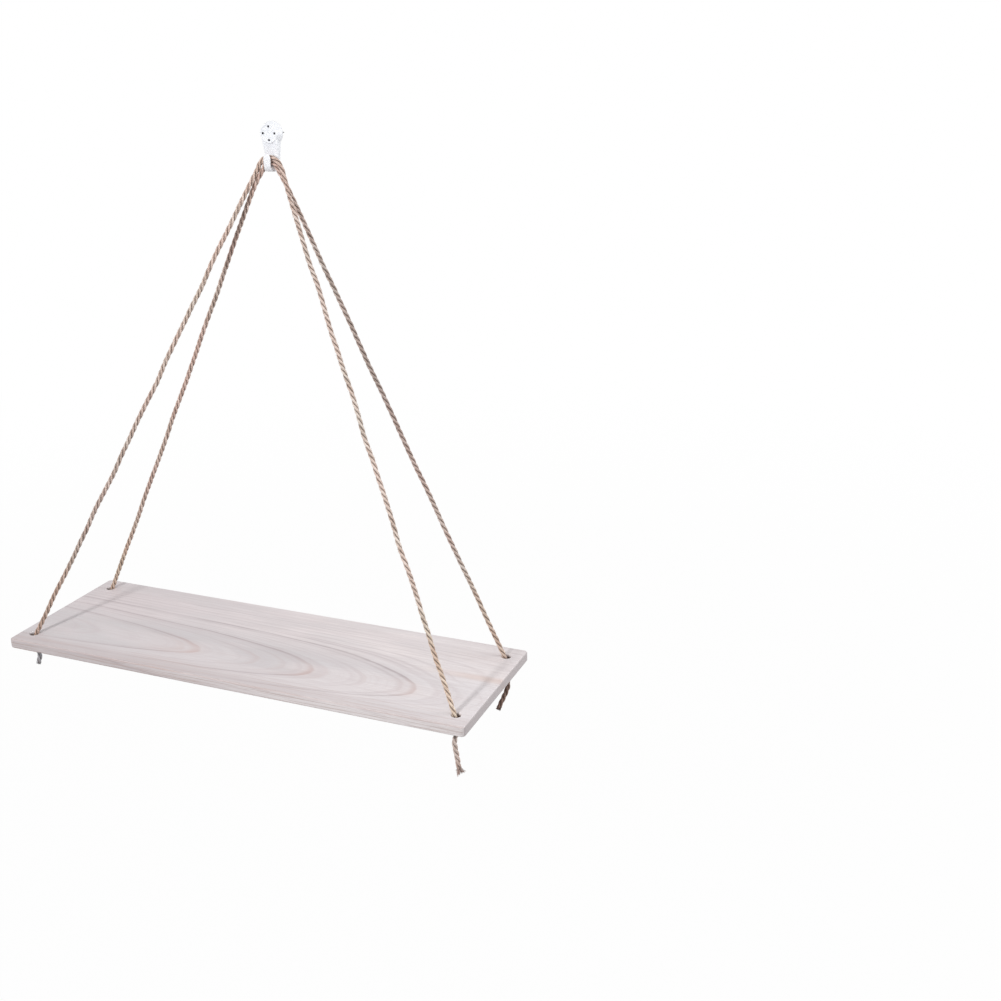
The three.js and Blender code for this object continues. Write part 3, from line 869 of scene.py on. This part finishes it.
def make_end(name, seed):
    random = np.random.default_rng(seed)
    route, tip, tint = end_routes[name], FRAY[name], END_PAINTED_SHADE[name]
    along = distances(route)
    in_knot = np.clip((along - SQUEEZE_FROM) / SQUEEZE_FADE, 0, 1)
    above = np.clip((route[:, 2] - HINGE_LEVEL + HINGE_FADE) / (2 * HINGE_FADE), 0, 1)
    squeeze = 1 - (1 - KNOT_SQUEEZE) * in_knot * above + (END_SWELL - 1) * (1 - above)
    cut = int((along[-1] - along < tip).sum())
    yarns = Yarns()
    runs = yarns.lay(route, tint, squeeze, shift=END_SHIFT, cut=cut)
    fray_tip(yarns, route, runs, cut, tip, tint, random)
    end = built(
        f"{name}_knot_and_end", yarns.mesh(name), spin_rope,
        Sides=ROPE_SIDES, Fibres_per_square_metre=FIBRES_ON_ENDS, Seed=seed, **FUZZ,
    )
    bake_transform(end)
    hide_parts(f"{name}_knot", f"{name}_tail")
    return end


ends = {name: make_end(name, seed=END_SEED + k) for k, name in enumerate(TAIL_POINTS)}

# %% [markdown]
# ## The ropes' lengths
# Both ropes are held at both ends, so they are taut cords of a known length, with a knot on
# each end.

# %% Rope lengths
for row, rope in ropes.items():
    route = routes[row]
    print(row, "rope declared,", round(length_of(route), 3), "m")

# %% [markdown]
# ## Whitewashed wood
# The board is one flat-sawn plank. A tree's rings are cylinders round its heart, and the heart
# of this plank dips away from its top from left to right, so the saw cuts each ring in a long
# arch that points right. Working out the distance from the heart at each point gives the arches
# on top, the lines on the front edge and the arcs on the ends from one rule. The rings then
# only need the right radii. The pattern is worked out in millimetres, so its sizes are too.

# %% Tree rings
TOP, FRONT, END = BOARD_TOP / MM, BOARD_LOW[1] / MM, BOARD_HIGH[0] / MM
HEART_Y, HEART_DEPTH, HEART_SLOPE, HEART_CURVE = -98.0, 45.0, 0.085, 0.00015
# The heart dips along a line as far right as this, and along a curve from there on.
HEART_STRAIGHT_TO = -50.0
TREE_DRIFT, TREE_RIPPLE, FRONT_SQUEEZE = 4.0, 0.9, 0.011
# Radius of each ring, and how dark its line is.
RINGS = (
    (43.9, 0.3), (45.2, 0.85), (50.6, 0.4), (53.4, 0.25), (56.4, 1.0),
    (58.0, 0.35), (62.5, 0.3), (67.0, 0.3), (68.7, 0.85), (72.5, 0.65), (74.0, 0.4),
    (77.5, 0.35), (82.0, 0.3), (85.5, 0.2), (89.0, 0.55), (97.0, 0.3),
)
RING_BEFORE, RING_AFTER = 0.95, 0.35
HALO_FROM, HALO_SHARE, HALO_BEFORE, HALO_AFTER = 0.8, 0.28, 5.0, 1.5
# Rings wider than this show as straight lines only; their arches lie past the board's end.
LAST_ARCH = 70


def ring_lines(radius, flank):
    """Dark lines, soft on the inside and sharper on the outside; the darkest have a halo."""
    lines = 0.0
    for ring, dark in RINGS:
        line = radius.rise(ring - RING_BEFORE, ring) * radius.rise(ring + RING_AFTER, ring)
        if ring > LAST_ARCH:
            line = line * flank
        lines = line * dark + lines
        if dark > HALO_FROM:
            halo = radius.rise(ring - HALO_BEFORE, ring) * radius.rise(ring + HALO_AFTER, ring)
            lines = halo * HALO_SHARE + lines
    return lines


def tree_rings(wood, place):
    """How far a point lies across from the heart, how far in all, and the ring lines there."""
    x, y, z = place.parts()
    drift = wood.drawn(place, (0.012, 0.03, 0.03))
    ripple = wood.drawn(place, (0.03, 0.10, 0.10), 3)
    across = y - HEART_Y + (drift - 0.5) * TREE_DRIFT
    front = across.math("MINIMUM", 0.0)
    across = across - front * front * FRONT_SQUEEZE
    flank = across.rise(24, 80)
    past = x - HEART_STRAIGHT_TO
    dip = past * HEART_SLOPE + past.math("MAXIMUM", 0.0) ** 2 * HEART_CURVE
    depth = z - TOP + HEART_DEPTH + dip * (1 - flank * 0.7)
    radius = (across * across + depth * depth) ** 0.5 + (ripple - 0.5) * TREE_RIPPLE
    return across, radius, ring_lines(radius, across.rise(22, 46))


print("rings on the board:", len(RINGS))

# %% [markdown]
# ## Wash, saw marks, painted light and shade
# A thin white wash lies over the wood, so the contrast is low. It is cooler and darker at the
# left and along the front edge. Its rise from left to right is partly the wash's own tone and
# partly painted light, and the same painted light makes the front face, where the saw left fine
# lines, paler towards the right. A few lines are scored along the top near its front edge,
# and the front arris is darker. Pores show as short warm flecks, the end grain soaks the wash up
# and is darker, and the holes are dark inside, partly bare wood and partly painted shade that
# deepens with depth. Each of these is a layer with its own colour.

# %% Wood finish
WOOD_RELIEF = 0.1 * MM
HOLE_RADIUS = 3.7 * MM


def washed(wood, place, across, sawn, painted_light_front):
    """The colour of the wash, before any grain shows through it."""
    x = place.parts()[0]
    patches = wood.drawn(place, (0.008, 0.03, 0.03), 3).rise(0.42, 0.58)
    # Partly painted light: the wash gets lighter from left to right.
    cool = wood.mix(x.rise(-10, END), srgb(206, 202, 204), srgb(233, 228, 230))
    warm = wood.mix(x.rise(-END, 160), srgb(222, 213, 215), srgb(240, 232, 232))
    base = wood.mix(patches * 0.4 + across.rise(20, 44) * 0.6, cool, warm)
    edge = across.rise(-28, -44) * (1 - x.rise(-90, END) * 0.7)
    base = wood.mix(edge * 0.75, base, srgb(192, 183, 184))
    return wood.mix(sawn * 0.12 + painted_light_front * 0.68, base, srgb(252, 246, 246))


def wood_finish():
    material, wood, shader = new_finish("whitewashed_wood")
    place = wood.node("ShaderNodeTexCoord", out="Object").vector("SCALE", 1 / MM)
    x, y, z = place.parts()
    across, radius, rings = tree_rings(wood, place)
    sawn = y.rise(FRONT + 1.4, FRONT + 0.4)
    # Painted light on the front face, growing towards the right.
    painted_light_front = sawn * x.rise(-200, 220)
    tips = across.math("ABSOLUTE").rise(20, 4)
    line = wood.mix(tips, srgb(172, 160, 163), srgb(197, 169, 163))
    faded = wood.drawn(place, (0.016, 0.08, 0.08)).rise(0.25, 0.7)
    shown = rings * (0.35 + faded * 0.55) * (1 - tips * 0.25)
    colour = wood.mix(shown, washed(wood, place, across, sawn, painted_light_front), line)

    span = {0: radius * 0.9, 1: x * 0.004, 2: z * 0.05}
    bands = wood.noise(wood.node("ShaderNodeCombineXYZ", {}, span), 1.0, 3, 0.6)
    streaks = wood.drawn(place, (0.02, 1.4, 1.4), 4, 0.6)
    fibres = wood.drawn(place, (0.09, 5.5, 5.5), 2, 0.6)
    kerf = wood.drawn(place, (0.012, 0, 1), 3, 0.6).rise(0.5, 0.6)
    scored = wood.drawn(place, (0.01, 0.85, 0), 3, 0.65).rise(0.52, 0.62)
    pores = wood.drawn(place, (0.22, 3, 3)).rise(0.66, 0.78)
    # A darker band along the front arris.
    arris = y.rise(FRONT + 1.5, FRONT + 0.8) * z.rise(TOP - 1.3, TOP - 0.5)
    blush = x.rise(130, 205) * (y + 60).math("ABSOLUTE").rise(7, 1)
    end_grain = x.math("ABSOLUTE").rise(END - 1.0, END - 0.1)
    layers = [
        (bands.rise(0.4, 0.75) * 0.32, (193, 180, 183)),
        (streaks.rise(0.4, 0.68) * (sawn * 0.2 - painted_light_front * 0.25 + 0.42), (199, 188, 189)),
        (fibres.rise(0.4, 0.66) * 0.3, (195, 184, 184)),
        (kerf * (sawn * 0.75 - painted_light_front * 0.2), (182, 162, 157)),
        (scored * across.rise(-22, -34) * (0.5 - sawn * 0.5), (188, 167, 162)),
        (arris * 0.42, (184, 167, 164)),
        (pores * (0.32 + x.rise(60, 200) * 0.45), (187, 156, 148)),
        (blush * 0.4, (213, 185, 172)),
        (end_grain * 0.75, (168, 160, 161)),
    ]
    hole_x, bore = x.math("ABSOLUTE") - HOLE_X / MM, HOLE_RADIUS / MM
    # Painted shade: each bore is dark brown, partly bare wood, and darker the deeper it goes.
    deep = z.rise(TOP - 0.9, TOP - 2.6)
    for row in HOLE_Y.values():
        hole_y = y - row / MM
        inside = (hole_x * hole_x + hole_y * hole_y).rise((bore + 0.45) ** 2, bore ** 2)
        layers.append((inside * deep * 0.85, (104, 84, 70)))
    for share, tone in layers:
        colour = wood.mix(share, colour, srgb(*tone))

    wood.plug(shader, "Base Color", colour)
    wood.plug(shader, "Roughness", 0.56 + streaks * 0.12 + rings * 0.06)
    height = streaks * 0.5 + fibres * 0.35 - pores * 0.6 - rings * 0.4
    bump = {"Strength": 0.6, "Distance": WOOD_RELIEF, "Height": height}
    wood.plug(shader, "Normal", wood.node("ShaderNodeBump", {}, bump))
    return material


whitewashed_wood = wood_finish()
print("made", whitewashed_wood.name)

# %% [markdown]
# ## Tools for the holes
# The board's four holes are eased at both mouths. Each one is cut by a turned tool that flares
# at both ends, so that one Boolean makes the bore and its easing together. The same function
# turns the hook's pins later.

# %% Hole tools
HOLE_EASING, HOLE_SIDES, FLARE_POINTS = 0.9 * MM, 48, 6
TOOL_OVERRUN = 1 * MM


def turned(bm, outline, sides, place=(0, 0, 0)):
    """Adds a closed round form from its outline of (radius, height), with ends on the axis."""
    rings = []
    for radius, height in outline:
        angles = np.linspace(0, 2 * math.pi, sides, endpoint=False) if radius else [0]
        spots = [(radius * math.cos(a), radius * math.sin(a), height) for a in angles]
        rings.append([bm.verts.new(Vector(place) + Vector(spot)) for spot in spots])
    for low, high in zip(rings, rings[1:]):
        for i in range(sides):
            steps = ((low, i), (low, i + 1), (high, i + 1), (high, i))
            corners = [ring[step % len(ring)] for ring, step in steps]
            bm.faces.new(list(dict.fromkeys(corners)))


def mesh_object(name, bm, material=None):
    bmesh.ops.recalc_face_normals(bm, faces=bm.faces)
    mesh = bpy.data.meshes.new(name)
    bm.to_mesh(mesh)
    bm.free()
    if material:
        mesh.materials.append(material)
    made = bpy.data.objects.new(name, mesh)
    bpy.context.scene.collection.objects.link(made)
    return made


def hole_tools():
    half = (BOARD_TOP - BOARD_BOTTOM) / 2
    outline = [(0, -half - TOOL_OVERRUN), (HOLE_RADIUS + HOLE_EASING, -half - TOOL_OVERRUN)]
    for part in np.linspace(0, math.pi / 2, FLARE_POINTS):
        flare = HOLE_EASING * (1 - math.sin(part))
        outline.append((HOLE_RADIUS + flare, -half + HOLE_EASING * (1 - math.cos(part))))
    outline += [(radius, -height) for radius, height in reversed(outline)]
    bm = bmesh.new()
    for side in (-1, 1):
        for y in HOLE_Y.values():
            turned(bm, outline, HOLE_SIDES, (side * HOLE_X, y, (BOARD_TOP + BOARD_BOTTOM) / 2))
    return mesh_object("Hole_tools", bm)


tools = hole_tools()
print("hole tools:", len(tools.data.polygons), "faces")

# %% [markdown]
# ## The board
# The board is a plain plank with its arrises sanded round. A box with two bevels gives it: first
# the four upright corners, then every edge. The tools then cut its holes.

# %% Board
CORNER_RADIUS, EDGE_RADIUS, BEVEL_STEPS = 3.5 * MM, 1.1 * MM, 6
# An edge that turns by more than this is sharp, in radians.
SHARP = 1.0
# A face that is smaller than this belongs to a rounded edge.
ROUND_FACE = 40 * MM ** 2


def make_board():
    low, high = Vector(BOARD_LOW), Vector(BOARD_HIGH)
    bm = bmesh.new()
    bmesh.ops.create_cube(bm, size=1)
    bmesh.ops.scale(bm, vec=high - low, verts=bm.verts)
    bmesh.ops.translate(bm, vec=(low + high) / 2, verts=bm.verts)
    rounding = {"segments": BEVEL_STEPS, "profile": 0.5, "affect": "EDGES"}
    upright = [e for e in bm.edges if e.verts[0].co.z != e.verts[1].co.z]
    bmesh.ops.bevel(bm, geom=upright, offset=CORNER_RADIUS, **rounding)
    level = [e for e in bm.edges if e.calc_face_angle() > SHARP]
    bmesh.ops.bevel(bm, geom=level, offset=EDGE_RADIUS, **rounding)
    board = mesh_object("shelf_plank", bm, whitewashed_wood)
    cut = board.modifiers.new("Holes", "BOOLEAN")
    cut.operation, cut.solver, cut.object = "DIFFERENCE", "EXACT", tools
    settled(board)
    bpy.data.objects.remove(tools)
    for face in board.data.polygons:
        face.use_smooth = face.area < ROUND_FACE
    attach(board, "hanging_shelf")
    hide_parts("shelf_board")
    return board


board = make_board()
print("board box:", [round(v / MM, 1) for v in board.dimensions])

# %% [markdown]
# ## White plastic
# The hook is moulded in a satin white plastic that lets a little light in, so it has some
# subsurface scattering. Each pin's hole is a little wider than the pin, and the gap is in shade.
# It is far too narrow to model, so its shade is painted as a dark ring by the distance to the pin.

# %% Plastic finish
PIN_CIRCLE = 5.2 * MM
PIN_SPOTS = ((0, PIN_CIRCLE), (-PIN_CIRCLE, 0), (PIN_CIRCLE, 0), (0, -PIN_CIRCLE))
# Radii about a pin, in millimetres, at which the painted shade of its gap is full and at which it
# ends.
PIN_GAP_SHADE, PIN_CLEAR = 0.7, 1.0
PLASTIC_RELIEF = 0.02 * MM


def plastic_finish():
    material, plastic, shader = new_finish(
        "white_plastic", Subsurface_Weight=0.5, Subsurface_Scale=3 * MM
    )
    shader.inputs["Subsurface Radius"].default_value = (1.0, 1.0, 1.0)
    place = plastic.node("ShaderNodeTexCoord", out="Object").vector("SCALE", 1 / MM)
    cloud = plastic.noise(place, 0.25, 2)
    grain = plastic.noise(place, 3.0, 3)
    colour = plastic.mix(cloud.rise(0.3, 0.7), srgb(241, 243, 252), srgb(243, 245, 253))
    x, _, z = place.parts()
    # Painted shade: a dark ring in the gap round each pin.
    for pin_x, pin_z in PIN_SPOTS:
        beside, above = x - pin_x / MM, z - pin_z / MM
        away = beside * beside + above * above
        colour = plastic.mix(away.rise(PIN_CLEAR ** 2, PIN_GAP_SHADE ** 2), colour, srgb(34, 34, 38))
    plastic.plug(shader, "Base Color", colour)
    plastic.plug(shader, "Roughness", 0.32 + grain * 0.12)
    bump = {"Strength": 0.15, "Distance": PLASTIC_RELIEF, "Height": grain}
    plastic.plug(shader, "Normal", plastic.node("ShaderNodeBump", {}, bump))
    return material


white_plastic = plastic_finish()
print("made", white_plastic.name)

# %% [markdown]
# ## The hook
# The hook is one moulding: a round head with a raised rim, a tapering body, a short bar that
# carries the ropes and an arm in front of them. Moulded corners are never sharp. The part's own
# solid has the right form with sharp corners, so a merged copy of it is remeshed finely and
# relaxed a little, which rounds every corner by about a quarter of a millimetre and leaves the
# sizes alone. The foot's front corner is rounder still, so it is first pulled back onto an arc.

# %% Hook
# The middle of the toe's arc, seen from the side, and its radius.
TOE_Y, TOE_Z, TOE_ROUND = -6.4 * MM, -23.2 * MM, 6 * MM
MERGE_WITHIN, VOXEL, RELAXED = 0.002 * MM, 0.2 * MM, 9


def remeshed(piece, relaxed=0):
    """Gives a piece a fine even mesh and relaxes it a number of times."""
    remesh = piece.modifiers.new("Fine", "REMESH")
    remesh.mode, remesh.voxel_size = "VOXEL", VOXEL
    relax = piece.modifiers.new("Relax", "SMOOTH")
    relax.factor, relax.iterations = 0.5, relaxed
    settled(piece)


def round_toe(mesh):
    """Pulls what stands out past the toe's arc, in front and below, back onto the arc."""
    for vert in mesh.vertices:
        forward, below = TOE_Y - vert.co.y, TOE_Z - vert.co.z
        reach = math.hypot(forward, below)
        if min(forward, below) > 0 and reach > TOE_ROUND:
            vert.co.y = TOE_Y - forward * TOE_ROUND / reach
            vert.co.z = TOE_Z - below * TOE_ROUND / reach


def make_hook():
    bm = bmesh.new()
    bm.from_mesh(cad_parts["hook_body"].data)
    bmesh.ops.remove_doubles(bm, verts=bm.verts, dist=MERGE_WITHIN)
    hook = mesh_object("moulded_hook", bm)
    remeshed(hook)
    round_toe(hook.data)
    remeshed(hook, RELAXED)
    hook.data.materials.clear()
    hook.data.materials.append(white_plastic)
    for face in hook.data.polygons:
        face.use_smooth = True
    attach(hook, "hook")
    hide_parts("hook_body")
    return hook


hook = make_hook()
print("hook's faces:", len(hook.data.polygons))

# %% [markdown]
# ## The pins
# Four steel pins hold the hook. They are one shape in four places, which is a job for Instance
# on Points: a mesh of four points carries the places, and a turned pin with a small bevelled
# head and a long point is the instance.

# %% Steel finish and pins
PIN_RADIUS, PIN_LENGTH, PIN_POINT = 0.55 * MM, 15 * MM, 2.2 * MM
PIN_FRONT, PIN_BEVEL, PIN_SIDES = -6.1 * MM, 0.12 * MM, 20
STEEL_RELIEF = 0.01 * MM
# The long straight sides of a pin are larger than this and stay flat.
PIN_FACE = 2 * MM ** 2


def steel_finish():
    material, steel, shader = new_finish("pin_steel", Metallic=1.0)
    place = steel.node("ShaderNodeTexCoord", out="Object").vector("SCALE", 1 / MM)
    drawn = steel.noise(place.vector("MULTIPLY", (4.0, 0.3, 4.0)), 1.5, 3)
    colour = steel.mix(drawn, srgb(34, 32, 36), srgb(58, 56, 60))
    steel.plug(shader, "Base Color", colour)
    steel.plug(shader, "Roughness", 0.28 + drawn * 0.22)
    bump = {"Strength": 0.3, "Distance": STEEL_RELIEF, "Height": drawn}
    steel.plug(shader, "Normal", steel.node("ShaderNodeBump", {}, bump))
    return material


def pin_tree():
    group, tree, given = group_with("Set pins", (
        ("Geometry", "NodeSocketGeometry"),
        ("Pin", "NodeSocketObject"),
        ("Finish", "NodeSocketMaterial"),
    ))
    shape = tree.node("GeometryNodeObjectInfo", {}, {"Object": given["Pin"]}, "Geometry")
    values = {"Points": given["Geometry"], "Instance": shape}
    pins = tree.node("GeometryNodeInstanceOnPoints", {}, values)
    finish_group(tree, pins, given["Finish"])
    return group


def make_pins():
    r, soft = PIN_RADIUS, PIN_BEVEL
    outline = [(0, 0), (r - soft, 0), (r - soft * 0.3, soft * 0.3), (r, soft)]
    outline += [(r, PIN_LENGTH - PIN_POINT), (r * 0.55, PIN_LENGTH - PIN_POINT * 0.5)]
    outline += [(0, PIN_LENGTH)]
    bm = bmesh.new()
    turned(bm, outline, PIN_SIDES)
    bmesh.ops.rotate(bm, matrix=Matrix.Rotation(math.radians(-90), 3, "X"), verts=bm.verts)
    shape = mesh_object("Pin_shape", bm)
    places = bpy.data.meshes.new("pins")
    places.from_pydata([(x, PIN_FRONT, z) for x, z in PIN_SPOTS], [], [])
    pins = built("steel_pins", places, pin_tree(), Pin=shape, Finish=pin_steel)
    bpy.data.objects.remove(shape)
    for face in pins.data.polygons:
        face.use_smooth = face.area < PIN_FACE
    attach(pins, "hook")
    where = ("top", "left", "right", "bottom")
    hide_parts(*[f"hook_pin_{place}" for place in where])
    return pins


pin_steel = steel_finish()
pins = make_pins()
print("pins' faces:", len(pins.data.polygons))

# %% [markdown]
# ## Floor and light
# The shelf hangs in a plain white studio. A small near lamp in front of the hook, a little to
# its left and above it, throws the faint shadows of the two front ropes across the board. A
# broad light from above evens the board's top, and one from the right and behind brightens the
# right-hand sides. The world is white to the camera and to reflections, and weaker as a light.
# The floor glows white to them too, and fully so far away, where it would otherwise meet the
# world in a line. It is far enough below the shelf to leave the picture empty, and it still
# takes the shelf's shadow.

# %% Floor, world and lamps
FLOOR_LEVEL, FLOOR_REACH = -0.80, 30
FLOOR_GLOW_NEAR, FLOOR_GLOW_FAR = 0.98, 1.0
# The glow grows between these distances from the hook.
GLOW_FROM, GLOW_TO = 0.9, 2.6
AMBIENT = 0.53
WHITE = (1.0, 1.0, 1.0, 1.0)
# The name, place and target of each lamp, its width in metres and its power in watts.
LAMPS = (
    ("Front_lamp", (-0.111, -0.789, 0.103), (0, -0.07, -0.30), 0.085, 3.8),
    ("Top_light", (0.05, -0.35, 1.10), (0.05, -0.07, -0.42), 1.2, 2.8),
    ("Side_light", (1.70, 0.60, 0.15), (0, -0.07, -0.20), 1.2, 16),
)


def seen(tree):
    """1 for what the camera sees, straight or in a reflection or through glass, and else 0."""
    rays = tree.node("ShaderNodeLightPath", out="Is Camera Ray")
    outputs = rays.socket.node.outputs
    glossy, through = [Wire(tree, outputs[f"Is {kind} Ray"]) for kind in ("Glossy", "Transmission")]
    return rays.math("MAXIMUM", glossy).math("MAXIMUM", through)


def studio_world():
    world = bpy.data.worlds.new("Studio")
    bpy.context.scene.world = world
    world.use_nodes = True
    tree = Tree(world.node_tree)
    background = world.node_tree.nodes["Background"]
    tree.plug(background, "Color", WHITE)
    tree.plug(background, "Strength", AMBIENT + seen(tree) * (1 - AMBIENT))


def studio_floor():
    bm = bmesh.new()
    bmesh.ops.create_grid(bm, x_segments=1, y_segments=1, size=FLOOR_REACH)
    bmesh.ops.translate(bm, vec=(0, 0, FLOOR_LEVEL), verts=bm.verts)
    material, tree, matt = new_finish("pale_floor", Base_Color=srgb(185, 185, 185), Roughness=0.9)
    glow = tree.node("ShaderNodeEmission", {}, {"Color": WHITE, "Strength": 1.0})
    place = tree.node("ShaderNodeTexCoord", out="Object")
    far = place.vector("LENGTH", (0, 0, 0)).rise(GLOW_FROM, GLOW_TO)
    share = seen(tree) * (FLOOR_GLOW_NEAR + far * (FLOOR_GLOW_FAR - FLOOR_GLOW_NEAR))
    surface = Wire(tree, matt.outputs[0])
    mixed = tree.node("ShaderNodeMixShader", {}, {0: share, 1: surface, 2: glow})
    tree.plug(material.node_tree.nodes["Material Output"], "Surface", mixed)
    mesh_object("Studio_floor", bm, material)


def lamp(name, place, target, size, power):
    light = bpy.data.lights.new(name, "AREA")
    light.shape, light.size, light.energy = "DISK", size, power
    made = bpy.data.objects.new(name, light)
    bpy.context.scene.collection.objects.link(made)
    turn = (Vector(place) - Vector(target)).to_track_quat("Z", "Y")
    made.matrix_world = Matrix.Translation(place) @ turn.to_matrix().to_4x4()


studio_world()
studio_floor()
for settings in LAMPS:
    lamp(*settings)
bpy.context.scene.view_settings.view_transform = "Standard"
